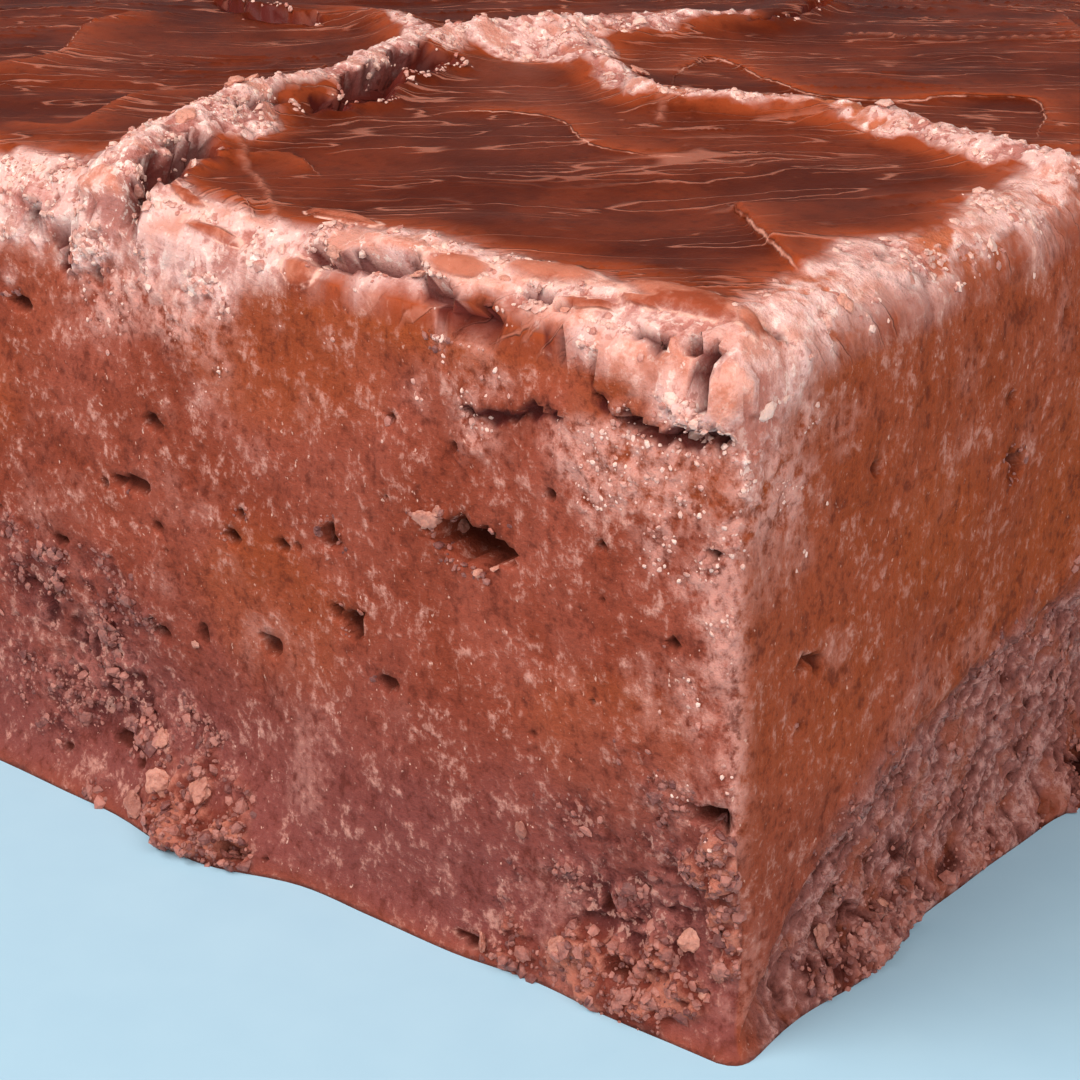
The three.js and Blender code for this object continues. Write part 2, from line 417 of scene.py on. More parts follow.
def patches(places, ragged, soft):
    """1 inside ragged patches of the sides, 0 outside; soft is the width of the edge between."""
    inside = np.zeros(len(p))
    for number, a, h, half_width, half_height in places:
        q = np.hypot((along - a) / half_width, (z - h) / half_height)
        inside = np.maximum(inside, (face == number) * smooth((1 - q + ragged) / soft))
    return inside


crumb = patches(CRUMB_PATCHES, 0.45 * coarse + 0.45 * mid + 0.2 * fine, 0.8)
pale = patches(PALE_PATCHES, 0.45 * coarse + 0.5 * mid, 0.9)
torn = np.zeros(len(p))
for side in SIDES:
    if "tear" in side:
        here = smooth((tear_top(side, along) + 1.8 * coarse + 1.6 * mid - z) / 3.0 + 0.2)
        torn = np.maximum(torn, (face == side["face"]) * here)
# The smooth foot.
lip = is_side * bell(z / (0.7 + 0.3 * coarse)) * (face != RIGHT)
lip = np.maximum(lip, (face == RIGHT) * bell(z / 0.5) * smooth(0.3 + 2 * coarse))
crumb *= 1 - 0.6 * lip
torn *= 1 - 0.6 * lip

# ---- Relief, in mm along the surface's own normal ----

# Tone is how pale a point is: the tops of grains are paler than the gaps.
out, pit, tone = np.zeros((3, len(p)))

# Air pockets: (place along, height, half width, half height, depth) on each side.
POCKETS = {
    FRONT: [
        (14.1, 20.1, 1.75, 0.95, 2.3), (22.1, 18.4, 0.62, 0.68, 1.0), (21.0, 14.5, 0.95, 0.62, 0.9),
        (26.2, 11.6, 0.55, 0.42, 0.6), (30.8, 10.8, 0.35, 0.45, 0.6), (33.9, 10.1, 0.5, 0.38, 0.6),
        (34.6, 17.7, 1.0, 0.22, 0.5), (40.3, 13.4, 0.5, 0.3, 0.6), (41.8, 25.5, 0.8, 0.3, 0.6),
        (1.3, 23.0, 0.5, 0.26, 0.6), (1.6, 11.2, 1.3, 0.55, 1.2), (28.1, 16.8, 0.45, 0.34, 0.6),
        (36.5, 26.9, 0.5, 0.55, 0.8), (38.0, 28.8, 0.4, 0.75, 0.9), (14.0, 0.9, 0.7, 0.28, 0.7),
        (25.6, 21.6, 0.22, 0.2, 0.4), (18.8, 12.0, 0.5, 0.25, 0.4), (27.9, 0.9, 1.1, 0.35, 0.9),
        (33.2, 15.9, 0.3, 0.2, 0.4), (24.0, 17.3, 0.35, 0.25, 0.4),
    ],
    RIGHT: [
        (21.4, 20.5, 0.65, 0.6, 0.8), (20.6, 21.3, 0.4, 0.3, 0.5), (11.3, 29.4, 0.45, 0.3, 0.5),
        (8.4, 4.0, 0.8, 0.5, 0.9), (25, 26.5, 0.25, 0.5, 0.4), (14.5, 2.2, 0.6, 0.35, 0.6),
    ],
    BACK: [
        (33, 17, 1.3, 0.8, 1.5), (50, 21, 0.8, 0.5, 0.9), (60, 13, 0.6, 0.5, 0.7), (14, 22, 0.9, 0.5, 0.8),
    ],
    LEFT: [(40, 19, 1.2, 0.9, 1.4), (22, 23, 0.8, 0.4, 0.7), (57, 15, 0.6, 0.6, 0.8)],
}
sunk, ring_grain = np.zeros((2, len(p)))
SPANS = {FRONT: LENGTH, RIGHT: WIDTH, BACK: LENGTH, LEFT: WIDTH}
for number, pockets in POCKETS.items():
    for _ in range(46 if number in (FRONT, BACK) else 26):
        size = rng.uniform(0.13, 0.34)
        place = rng.uniform(2, SPANS[number] - 2), rng.uniform(2, 29)
        pockets.append((*place, size * rng.uniform(0.8, 1.8), size * rng.uniform(0.7, 1.2), 1.4 * size))
    on_side = np.flatnonzero(face == number)
    for a, h, half_width, half_height, depth in pockets:
        da, dh = along[on_side] - a, z[on_side] - h
        close = np.flatnonzero((abs(da) < 2 * half_width + 0.4) & (abs(dh) < 2 * half_height + 0.4))
        here = on_side[close]
        ragged = 0.6 * fine[here] + 0.35 * mid[here]
        q = np.hypot(da[close] / half_width, dh[close] / half_height) + ragged
        inside = smooth((1.08 - q) / 0.22)
        sunk[here] = np.maximum(sunk[here], 1.2 * depth * inside * (0.75 + 0.25 * np.clip(1 - q, 0, 1)))
        # pit marks a pocket's inside, which the shader paints dark as shade.
        pit[here] = np.maximum(pit[here], inside)
        ragged_ring = bell((q - 1.3) / 0.35) * smooth(0.3 + 2 * mid[here]) * (half_width > 0.3)
        ring_grain[here] = np.maximum(ring_grain[here], ragged_ring)

# Knife-cut sides.
plain = is_side * (1 - rim) * (1 - crumb) * (1 - torn)
out += is_side * 0.10 * fractal(p, np.array([2.2, 2.2, 3.4]), 13, 3)
shear = np.where(face == FRONT, 0.55 * smooth((u - 16) / 14), 0.0)
drag = along + shear * z
out += plain * 0.04 * noise3(np.stack([drag, 0 * drag, z], axis=1), (0.55, 1, 4.5), 17)
out += plain * 0.06 * fractal(p, 1.0, 19, 3)


def chips(where, size, seed, amount, gap=0.0):
    """Packed, broken grains of one size: each is a facet with its own height and tilt."""
    chosen = np.flatnonzero(where > 0.02)
    warp = np.stack([fine, mid, coarse], axis=1)[chosen] * 0.2 * size
    first, second, own, facet = cells(p[chosen] + warp, size, seed)
    lump = (own - 0.5) + 0.8 * facet - gap * bell((second - first) / 0.09)
    out[chosen] += where[chosen] * amount * lump
    tone[chosen] += where[chosen] * lump * min(1, 2.5 * amount)


chips(crumb * smooth(0.3 + 1.8 * coarse), 1.5, 23, 0.34, 0.3)
chips(crumb, 0.75, 29, 0.24, 0.3)
chips(np.maximum(np.maximum(crumb, 0.4 * torn), ring_grain), 0.42, 30, 0.20)
chips(np.maximum(pale, ring_grain), 0.5, 32, 0.18)
out += crumb * (0.22 * mid + 0.12 * fine - 0.15)

# Clods that were pressed out at the foot: (side, place along, height, half width, half height).
CLODS = [
    (FRONT, 31, 1.2, 5.5, 2.8), (FRONT, 5.5, 1.4, 6.5, 2.6), (FRONT, 0.6, 6.5, 1.8, 4.0),
    (FRONT, 62, 1, 6, 2), (RIGHT, 31, 0.8, 3.5, 2.4), (RIGHT, 9, 0.8, 6, 1.6), (BACK, 44, 1, 6, 2.5),
    (LEFT, 48, 1, 6, 2.2),
]
clod = patches(CLODS, 0.5 * mid + 0.4 * coarse, 0.4)
lip *= 1 - clod
chips(clod, 1.5, 45, 0.42, 0.35)
chips(clod, 0.6, 47, 0.16, 0.2)
out += clod * (0.30 + 0.30 * mid)

# Torn sides: ragged threads and webs dragged up and away from the corner.
pull = np.stack([(along - 0.75 * z) / 0.8, (z + 0.75 * along) / 3.4, 0 * z], axis=1)
web = 1 - 2.6 * abs(noise3(pull + 0.5 * mid[:, None], 1.0, 31))
web = np.maximum(web, 1 - 2.6 * abs(noise3(pull * 1.9 + 0.6 * mid[:, None], 1.0, 35)) - 0.15)
web = np.clip(web, -0.6, 1) * torn
out += 0.42 * web + torn * (0.30 * mid + 0.35 * coarse + 0.14 * fine - 0.1)
tone += 0.5 * web
chips(torn, 0.5, 39, 0.10, 0.2)
chips(torn * smooth((5 - z) / 4 + 1.2 * coarse), 0.8, 33, 0.28, 0.3)

# The rim and the crests: smooth-cored plates with grainy edges and gaps between them.
chosen = np.flatnonzero(loose > 0.02)
stretch = np.where(np.isin(strip[chosen], (FRONT, BACK))[:, None], (0.36, 0.9, 1.1), (0.9, 0.36, 1.1))
warped = p[chosen] + np.stack([0.9 * mid, 0.6 * coarse, 0.7 * mid], axis=1)[chosen]
warped += 0.3 * fine[chosen, None]
first, second, own, facet = cells(warped * stretch, 1.3, 37)
edge = np.ones(len(p))
edge[chosen] = second - first
plate, gap, core = np.zeros((3, len(p)))
plate[chosen] = own - 0.5
gap[chosen] = bell(edge[chosen] / 0.06) * smooth(-0.2 + 2.4 * coarse[chosen])
core[chosen] = smooth((edge[chosen] - 0.16) / 0.30) * smooth((own - 0.40) / 0.2)
core *= loose
bold = loose * (0.6 - 0.15 * crest)
out[chosen] += bold[chosen] * 0.26 * facet
out += bold * (0.30 * plate - 0.45 * gap + 0.16 * mid)
# The gaps between the plates are painted dark as shade too.
pit = np.maximum(pit, 0.7 * gap * loose)
tone += loose * (0.6 * plate + 0.3 * mid)
plate_edge = bell(edge / 0.16)
grainy = np.clip(smooth(-0.05 + 2.2 * mid) + 0.4 * plate_edge + 0.6 * crest, 0, 1)
grainy *= loose * (1 - 0.9 * core)
chips(grainy, 0.75, 41, 0.20, 0.2)
chips(crest * smooth(0.4 + 2 * coarse), 1.6, 49, 0.34, 0.2)
chips(np.maximum(grainy, 0.25 * loose * (1 - core)), 0.38, 43, 0.09)

# Broad smooth plates above the front's crack: (u, height up the front and over, half length, half width,
# turn in degrees).
PLATES = [
    (9.5, 31.6, 2.1, 0.75, -9), (4.7, 30.3, 2.0, 1.3, 0), (0.8, 30.0, 0.8, 1.3, 8), (18.8, 33.7, 2.4, 0.5, 3),
    (13.9, 32.2, 1.4, 0.5, -10), (36.5, 31.8, 2.2, 0.8, 25), (47, 32.4, 2.4, 0.7, 0), (56, 31.5, 2.6, 0.8, 4),
]


over_front = (strip == FRONT) | is_top


def front_lens(a, h, half_length, half_width, turn):
    """0 in the middle of a lens-shaped patch of the front and its rim, 1 at the patch's edge."""
    c, s = math.cos(math.radians(turn)), math.sin(math.radians(turn))
    da, dh = u - a, tall - h
    q = np.hypot((da * c + dh * s) / half_length, (dh * c - da * s) / half_width)
    return np.where(over_front, q * (1 + 0.3 * coarse) + 0.26 * mid, 3)


broad = np.zeros(len(p))
for plate_shape in PLATES:
    q = front_lens(*plate_shape)
    on = smooth((1.1 - q) / 0.25)
    out = mix(out, 0.34 + 0.10 * coarse + 0.05 * mid, 0.85 * on)
    broad = np.maximum(broad, on)
pit *= 1 - broad
grainy *= 1 - 0.8 * broad
core *= 1 - broad

# Cracks: (what they are drawn on, points, depth, half width). On the front a point is (u, height up the
# front and over), on the skin (u, v).
CRACKS = [
    (
        "front", [(25, 31.6), (21.4, 31.9), (19, 32.5), (17.2, 32.4), (15.8, 31.2), (14, 30.7), (11.2, 30.7)],
        1.1, 0.42,
    ),
    ("front", [(11.4, 30.7), (10.8, 29.9), (9.2, 30), (7.6, 29.6), (7.0, 28.2)], 0.9, 0.32),
    ("front", [(7.6, 28.6), (5.7, 27.7), (4.5, 27.3), (2.6, 27.7), (0.2, 28.1)], 1.0, 0.34),
    ("front", [(14.6, 26.1), (12.1, 26.3), (9.7, 27.0), (8.4, 26.7)], 0.55, 0.28),
    ("front", [(6.2, 32.0), (4.6, 31.6), (3.2, 31.7), (1.5, 32.1)], 0.8, 0.26),
    ("front", [(12.2, 32.6), (10.4, 32.3), (8.6, 31.9)], 0.7, 0.24),
    ("front", [(1.6, 32.3), (2.2, 30.4), (1.8, 28.6)], 1.2, 0.32),
    ("front", [(42.5, 31), (40.5, 30.2), (38.8, 29), (38.2, 27)], 0.9, 0.35),
    ("front", [(50, 31.6), (46, 31.2), (43.5, 30.9)], 0.8, 0.25),
    ("skin", [(34.6, -0.4), (33.9, 1.6), (34.6, 4), (35.5, 8.2)], 1.7, 0.8),
    ("skin", [(36.0, 14), (36.3, 19), (37.4, 23), (37.8, 28.5)], 1.7, 0.8),
    ("skin", [(37.2, 9.6), (37.3, 12.4), (36.8, 14.8)], 0.7, 0.26),
    ("skin", [(2.0, 2.2), (0.9, 3.3), (0.6, 4.6)], 0.7, 0.2),
    ("skin", [(31, 45), (30.4, 50), (32, 55)], 1.1, 0.4),
    ("skin", [(51, 32.2), (57, 31.6), (62, 33.5)], 0.9, 0.35),
]


def tapered(share, run):
    """1 along a path, falling to 0 over the first and the last part of it."""
    return smooth(share / run) * smooth((1 - share) / run)


crack = np.zeros(len(p))
for drawn_on, points, depth, half in CRACKS:
    b, on = (tall, over_front) if drawn_on == "front" else (v, is_top)
    distance, side, share = path_distance(u + 0.2 * mid, b + 0.24 * fine, points, 3)
    ends = tapered(share, 0.12)
    width = half * (0.85 + 0.75 * noise2(share * 14, 0 * share, 3)) * (0.35 + 0.65 * ends)
    cut = on * ends * smooth((width - distance) / (0.35 * half) + 0.5)
    out -= depth * cut
    # The layer above a crack laps over it.
    lap = on * ends * bell((distance - width) / 0.9) * (distance > width)
    above = side < 0 if drawn_on == "front" else side > 0
    out += 0.28 * lap * np.where(above, 1, -0.7)
    # This wider mask also takes in the crack's walls, which the shader paints dark as shade.
    crack = np.maximum(crack, on * ends * smooth((width - distance) / (0.35 * half) + 1.35))
    grainy = np.maximum(grainy, 0.9 * on * ends * bell((distance - width - 0.3) / 0.3))

# Smooth lens-shaped pads where the skin ran over the rim, given as the plates are.
PADS = [
    (23.6, 30.8, 1.1, 0.85, 0), (15.6, 33.2, 1.8, 0.9, 5), (11.4, 34.4, 2.1, 0.9, -4),
    (4.6, 34.7, 2.8, 0.9, 3), (1.8, 34.4, 1.2, 0.4, 50), (23.4, 35.1, 2.4, 0.55, 2),
    (8.6, 32.6, 1.3, 0.45, -8), (6.4, 33.6, 0.9, 0.35, 6), (29, 31.6, 2.2, 0.4, 10),
    (31.5, 33.4, 2.0, 0.4, 20), (50, 33, 2.2, 0.6, 0), (60, 34, 2.4, 0.6, 5), (71, 33.4, 2.0, 0.5, -4),
]
pad_q = np.min([front_lens(*pad_shape) for pad_shape in PADS], axis=0)
smooth_pad = smooth((1.1 - pad_q) / 0.5)
out = mix(out, 0.10 + 0.20 * np.sqrt(np.clip(1 - (pad_q / 1.2) ** 2, 0, 1)) + 0.1 * coarse, smooth_pad)
crack *= 1 - smooth_pad
pit *= 1 - smooth_pad

# The skin: fine folds that run one way, bent by slow noise.
skin = is_top * (1 - loose) * (1 - smooth_pad)
FLOW = math.radians(38)
run = u * -math.cos(FLOW) + v * math.sin(FLOW)
cross = u * math.sin(FLOW) + v * math.cos(FLOW)
bend = 2.4 * noise3(p, 15, 51) + 0.9 * noise3(p, 6, 53)
flow = np.stack([run / 6.5, (cross + bend) / 1.0, 0 * run], axis=1)
fold = np.clip(1 - abs(noise3(flow, 1.0, 57)) * 3.2, 0, 1) ** 2
patchy = smooth(0.35 + 1.4 * noise3(p, 9, 61))
out += skin * (0.13 * fold * patchy + 0.14 * noise3(flow, 2.4, 63))

# Flaps: a layer of skin that ends at a line: (points, height, reach of the layer). It is raised on the
# line's left, or on its right where the height is below zero.
FLAPS = [
    ([(2.7, 7.6), (4.5, 9.1), (8.3, 12.2), (11.8, 15.5)], 0.5, 3.0),
    (
        [(26, 31), (28.4, 35.5), (28, 38.4), (20, 35), (15, 37.4), (11.0, 41), (8.3, 38.2), (6.1, 33)],
        -0.25, 3.0,
    ),
    ([(33.4, 33.6), (36.4, 38), (37.5, 42), (37.3, 46)], 0.4, 2.6),
    ([(44, 43.5), (39.6, 41.6), (34.6, 34.4)], 0.3, 2.2),
    ([(48.7, 5.6), (44.8, 6.1), (46.5, 11.6), (44.6, 17.6)], 0.3, 2.0),
    ([(33.0, 0.4), (32.9, 2.4), (29.2, 2.5), (25.5, 0.6)], 0.35, 1.6),
    ([(33.7, 2.2), (34.3, 6.3), (32.1, 8.7), (28.6, 7.4)], 0.3, 1.8),
    ([(16, 20), (22, 19), (27, 22), (33, 20)], 0.12, 3.0),
    ([(60, 8), (57, 16), (62, 24), (60, 30)], 0.35, 3.0),
    ([(52, 50), (60, 54), (66, 50), (72, 55)], -0.3, 3.5),
    ([(20, 62), (14, 56), (8, 60)], 0.3, 3.0),
    ([(50, 64), (56, 60), (64, 64)], 0.3, 2.5),
]
wander = 0.5 * noise3(p, 2.6, 77)
flap_tone, flap_ends = np.zeros((2, len(p)))
flap_gap, flap_near = np.full((2, len(p)), 5.0)
for points, height, reach in FLAPS:
    distance, side, share = path_distance(u + wander, v + wander, points, 3 * reach)
    ends = tapered(share, 0.15)
    raised = smooth(0.5 + side * np.sign(height) * distance / 0.5)
    body = is_top * ends * raised * np.exp(-distance / reach)
    out += abs(height) * body * (1 - 0.6 * loose)
    flap_tone = np.maximum(flap_tone, body * body)
    closest = is_top & (distance < flap_near)
    flap_gap = np.where(closest, distance * side, flap_gap)
    flap_ends = np.where(closest, ends, flap_ends)
    flap_near = np.where(closest, distance, flap_near)

# Veins: thin raised threads of skin, painted pale: partly the skin's own paler colour and partly painted
# highlight.
VEINS = [
    [(36.6, 9.6), (32.5, 6.6), (28.4, 3.6), (25.8, 1.6), (24.6, 0)],
    [(22, 24.5), (24, 27), (27, 28)],
    [(26, 48), (19, 52), (13, 56)],
]
line = np.zeros(len(p))
for points in VEINS:
    distance, _, share = path_distance(u + 0.6 * wander, v + 0.4 * mid, points, 2)
    thread = is_top * bell(distance / 0.17) * smooth((1 - share) / 0.1)
    out += 0.16 * thread
    line = np.maximum(line, thread)

# The foot of the sides is smooth, and the base is flat.
out = mix(out, 0.12 * mid, 0.6 * lip)
out = mix(out, 0.0, smooth(pit * is_side)) - sunk
out *= np.where(is_side, smooth(z / 0.5), 1)

points = surface + normals * out[:, None]
# Pockets and cracks are cut a little downwards, so that their upper edge hangs over.
UNDERCUT = 0.25
points[:, 2] -= is_side * np.clip(-out - 0.5, 0, 1) * UNDERCUT
points[:, 2] = np.maximum(points[:, 2], 0)
points[z == 0, 2] = 0

# ---- Making the meshes ----

TRIANGLE_LIMIT = 195000


def new_mesh(name, points, faces, material, attributes, rounded):
    mesh = bpy.data.meshes.new(name)
    mesh.from_pydata((points * MM).tolist(), [], faces)
    mesh.materials.append(material)
    for key, values in attributes.items():
        layer = mesh.attributes.new(key, "FLOAT", "POINT")
        layer.data.foreach_set("value", np.asarray(values, np.float32))
    mesh.validate()
    mesh.update()
    mesh.polygons.foreach_set("use_smooth", np.full(len(mesh.polygons), rounded))
    obj = bpy.data.objects.new(name, mesh)
    scene.collection.objects.link(obj)
    return obj


def thin_out(obj):
    """Merges the flattest triangles until the piece is under the limit."""
    count = sum(len(f.vertices) - 2 for f in obj.data.polygons)
    reduce = obj.modifiers.new("thin", "DECIMATE")
    reduce.ratio = TRIANGLE_LIMIT / count
    reduce.use_collapse_triangulate = True
    bpy.context.view_layer.update()
    evaluated = obj.evaluated_get(bpy.context.evaluated_depsgraph_get())
    thinner = bpy.data.meshes.new_from_object(evaluated)
    obj.modifiers.clear()
    obj.data = thinner


# ---- Materials ----


class Shader:
    """Builds one material's nodes. Vectors are in mm."""

    def __init__(self, name):
        self.material = bpy.data.materials.new(name)
        self.material.use_nodes = True
        self.tree = self.material.node_tree
        self.bsdf = self.tree.nodes["Principled BSDF"]
        self.place = self.vector("SCALE", self.node("TexCoord", "Object"), scale=1 / MM)

    def put(self, socket, value):
        if hasattr(value, "is_linked"):
            self.tree.links.new(value, socket)
        elif socket.type == "RGBA" and len(value) == 3:
            socket.default_value = (*value, 1)
        else:
            socket.default_value = value

    def node(self, kind, out, settings=None, **inputs):
        n = self.tree.nodes.new("ShaderNode" + kind)
        for key, value in (settings or {}).items():
            setattr(n, key, value)
        for key, value in inputs.items():
            self.put(n.inputs[key.replace("_", " ")], value)
        return n.outputs[out]

    def vector(self, operation, a, b=None, scale=None):
        n = self.tree.nodes.new("ShaderNodeVectorMath")
        n.operation = operation
        self.put(n.inputs[0], a)
        if b is not None:
            self.put(n.inputs[1], b)
        if scale is not None:
            n.inputs["Scale"].default_value = scale
        return n.outputs[0]

    def math(self, operation, a, b=0.0):
        n = self.tree.nodes.new("ShaderNodeMath")
        n.operation = operation
        self.put(n.inputs[0], a)
        self.put(n.inputs[1], b)
        return n.outputs[0]

    def __getitem__(self, name):
        """One of the looks that the mesh's points carry."""
        return self.node("Attribute", "Fac", dict(attribute_name=name))

    def noise(self, size, detail=2.0, roughness=0.5, stretch=(1, 1, 1), place=None):
        where = self.vector("DIVIDE", place or self.place, tuple(size * s for s in stretch))
        return self.node("TexNoise", "Fac", Vector=where, Scale=1.0, Detail=detail, Roughness=roughness)

    def ramp(self, value, low, high):
        """0 at low, 1 at high, smooth between them."""
        settings = dict(interpolation_type="SMOOTHSTEP")
        return self.node("MapRange", "Result", settings, Value=value, From_Min=low, From_Max=high)

    def blend(self, a, b, share):
        n = self.tree.nodes.new("ShaderNodeMix")
        n.data_type = "RGBA"
        self.put(n.inputs["Factor"], share)
        self.put(n.inputs[6], a)
        self.put(n.inputs[7], b)
        return n.outputs[2]

    def times(self, a, b):
        return self.math("MULTIPLY", a, b)

    def plus(self, a, b):
        return self.math("ADD", a, b)

    def most(self, a, b):
        return self.math("MAXIMUM", a, b)

    def layers(self, colour, *layers):
        """Lays sRGB tints over a colour, one after another, each by its share."""
        for tint, share in layers:
            colour = self.blend(colour, srgb(*tint), share)
        return colour

    def soften(self, gloss, weight, radius, millimetres):
        """How much the surface reflects. Light goes a little way into the fudge, red the furthest."""
        self.bsdf.inputs["Specular IOR Level"].default_value = gloss
        self.bsdf.inputs["Subsurface Weight"].default_value = weight
        self.bsdf.inputs["Subsurface Radius"].default_value = radius
        self.bsdf.inputs["Subsurface Scale"].default_value = millimetres * MM

    def bump(self, height, millimetres):
        normal = self.node("Bump", "Normal", Height=height, Strength=1.0, Distance=millimetres * MM)
        self.put(self.bsdf.inputs["Normal"], normal)


def srgb(r, g, b):
    return tuple(((c / 255 + 0.055) / 1.055) ** 2.4 if c > 10 else c / 255 / 12.92 for c in (r, g, b))


class FudgeShader(Shader):
    """The slab's shader, with the noises that its looks share."""

    def __init__(self):
        super().__init__("fudge")
        dragged = self.node("CombineXYZ", "Vector", X=self["drag"], Z=self.times(self["height"], 0.25))
        streak = self.noise(0.6, 4.0, 0.7, place=dragged)
        self.mottle = self.noise(2.4, 7.0, 0.66)
        self.grit = self.noise(0.36, 4.0, 0.75)
        self.fleck = self.noise(0.55, 3.0, 0.65, (1, 1, 1.2))
        self.bright = self.ramp(self.fleck, 0.57, 0.63)
        self.between = self.ramp(self.fleck, 0.44, 0.37)
        value = self.plus(self.times(self.mottle, 0.34), self.times(streak, 0.14))
        self.value = self.plus(self.plus(value, self.times(self.grit, 0.24)), self.times(self.fleck, 0.28))


def cut_colour(s):
    """The cut sides: fine grit, dragged along the cut."""
    slow = s.ramp(s.noise(7.0, 3.0, 0.6), 0.38, 0.62)
    dust = s.plus(s.times(s.noise(1.1, 6.0, 0.75), 0.55), s.times(s.fleck, 0.45))
    dusty = s.times(s["smear"], s.ramp(dust, 0.38, 0.56))
    gritty = s.blend((0.75,) * 3, (0.45,) * 3, s["painted_glow"])
    speck = s.ramp(s.noise(0.26, 2.0, 0.6, (1, 1, 1.5)), 0.68, 0.76)
    return s.layers(
        s.blend(srgb(128, 55, 36), srgb(144, 69, 52), slow),
        # Painted glow of light through the fudge, in orange.
        ((150, 68, 32), s.times(s["painted_glow"], 0.8)),
        ((119, 62, 58), s.times(s["dusk"], 0.85)),
        ((202, 140, 126), s.times(dusty, 0.85)),
        ((82, 30, 20), s.times(s.ramp(s.value, 0.50, 0.40), 0.65)),
        ((208, 148, 132), s.times(s.ramp(s.value, 0.51, 0.62), gritty)),
        ((222, 172, 154), s.times(speck, gritty)),
    )


def add_crumbling(s, colour):
    """Crumbling patches, clods and torn sides: pale on the grains' tops, dark and dull between them."""
    tone = s["tone"]
    grain = s.plus(s.times(s.plus(s.grit, s.mottle), 0.3), s.times(tone, 0.45))
    grain = s.ramp(grain, 0.36, 0.68)
    crumbly = s.layers(
        s.blend(srgb(76, 32, 31), srgb(147, 84, 76), grain),
        ((72, 28, 26), s.times(s.between, 0.6)),
        ((206, 150, 134), s.times(s.bright, 0.7)),
    )
    clod_grain = s.ramp(s.plus(s.times(s.grit, 0.4), s.times(tone, 0.5)), 0.3, 0.65)
    cloddy = s.blend(srgb(116, 50, 37), srgb(180, 108, 88), clod_grain)
    ripped = s.layers(
        s.blend(srgb(58, 23, 20), srgb(136, 83, 76), grain),
        ((180, 130, 121), s.times(s.ramp(tone, 0.68, 0.9), s.ramp(s.grit, 0.4, 0.6))),
        ((136, 66, 42), s.times(s.ramp(s.noise(2.4, 3.0, 0.6), 0.5, 0.64), 0.6)),
    )
    colour = s.blend(colour, crumbly, s.times(s["crumb"], 0.8))
    colour = s.blend(colour, cloddy, s.times(s["clod"], 0.75))
    colour = s.blend(colour, ripped, s.times(s["torn"], 0.9))
    return s.blend(colour, srgb(140, 66, 46), s.times(s["lip"], 0.6))


def flow_lines(s):
    """Places along the skin's flow, and its fine lines: thin where a noise crosses its middle."""
    flow = s.node("CombineXYZ", "Vector", X=s.times(s["flow_run"], 1 / 7), Y=s["flow_cross"])
    waver = s.times(s.math("SUBTRACT", s.noise(2.2, 3.0, 0.6), 0.5), 0.9)
    flow = s.vector("ADD", flow, s.node("CombineXYZ", "Vector", Y=waver))
    thread = 0.0
    for size, thin, offset in ((1.9, 0.020, 0), (1.0, 0.028, 40)):
        place = s.vector("ADD", flow, (offset, 0, 0))
        from_middle = s.math("ABSOLUTE", s.math("SUBTRACT", s.noise(size, 1.0, 0.4, place=place), 0.5))
        here = s.ramp(s.noise(3.2, 2.0, 0.5, place=s.vector("ADD", flow, (0, 0, offset + 9))), 0.45, 0.58)
        thread = s.most(thread, s.times(s.ramp(from_middle, thin, thin * 0.2), here))
    return flow, thread


def flap_crease(s):
    """The thin line where a flap of skin ends."""
    gap = s.plus(s["flap_gap"], s.times(s.math("SUBTRACT", s.noise(0.9, 3.0, 0.6), 0.5), 0.25))
    crease = s.times(s.ramp(s.math("ABSOLUTE", gap), 0.10, 0.02), s.times(s["flap_ends"], 0.75))
    return s.times(s.times(crease, s.ramp(s["flap_near"], 0.6, 0.4)), s["skin"])


def skin_colour(s, flow, thread, crease):
    dashes = s.noise(0.45, 4.0, 0.7, place=s.vector("MULTIPLY", flow, (2.0, 1.0, 1.0)))
    return s.layers(
        s.blend(srgb(80, 26, 10), srgb(108, 41, 19), s.ramp(s.noise(6.0, 4.0, 0.6), 0.35, 0.65)),
        ((164, 72, 38), s.times(s.most(s["flap"], s["near_rim"]), 0.75)),
        ((58, 16, 8), s.times(s.ramp(s.noise(0.7, 5.0, 0.7), 0.5, 0.34), 0.35)),
        # Pale dashes and lines along the folds: the skin's own paler wrinkles, with painted highlight on
        # them.
        ((176, 108, 88), s.times(s.ramp(dashes, 0.62, 0.76), 0.3)),
        ((190, 120, 100), s.most(s.times(s["line"], 0.6), s.times(thread, 0.5))),
        ((212, 146, 126), s.times(crease, s.ramp(s.noise(1.5, 3.0, 0.6), 0.38, 0.6))),
    )


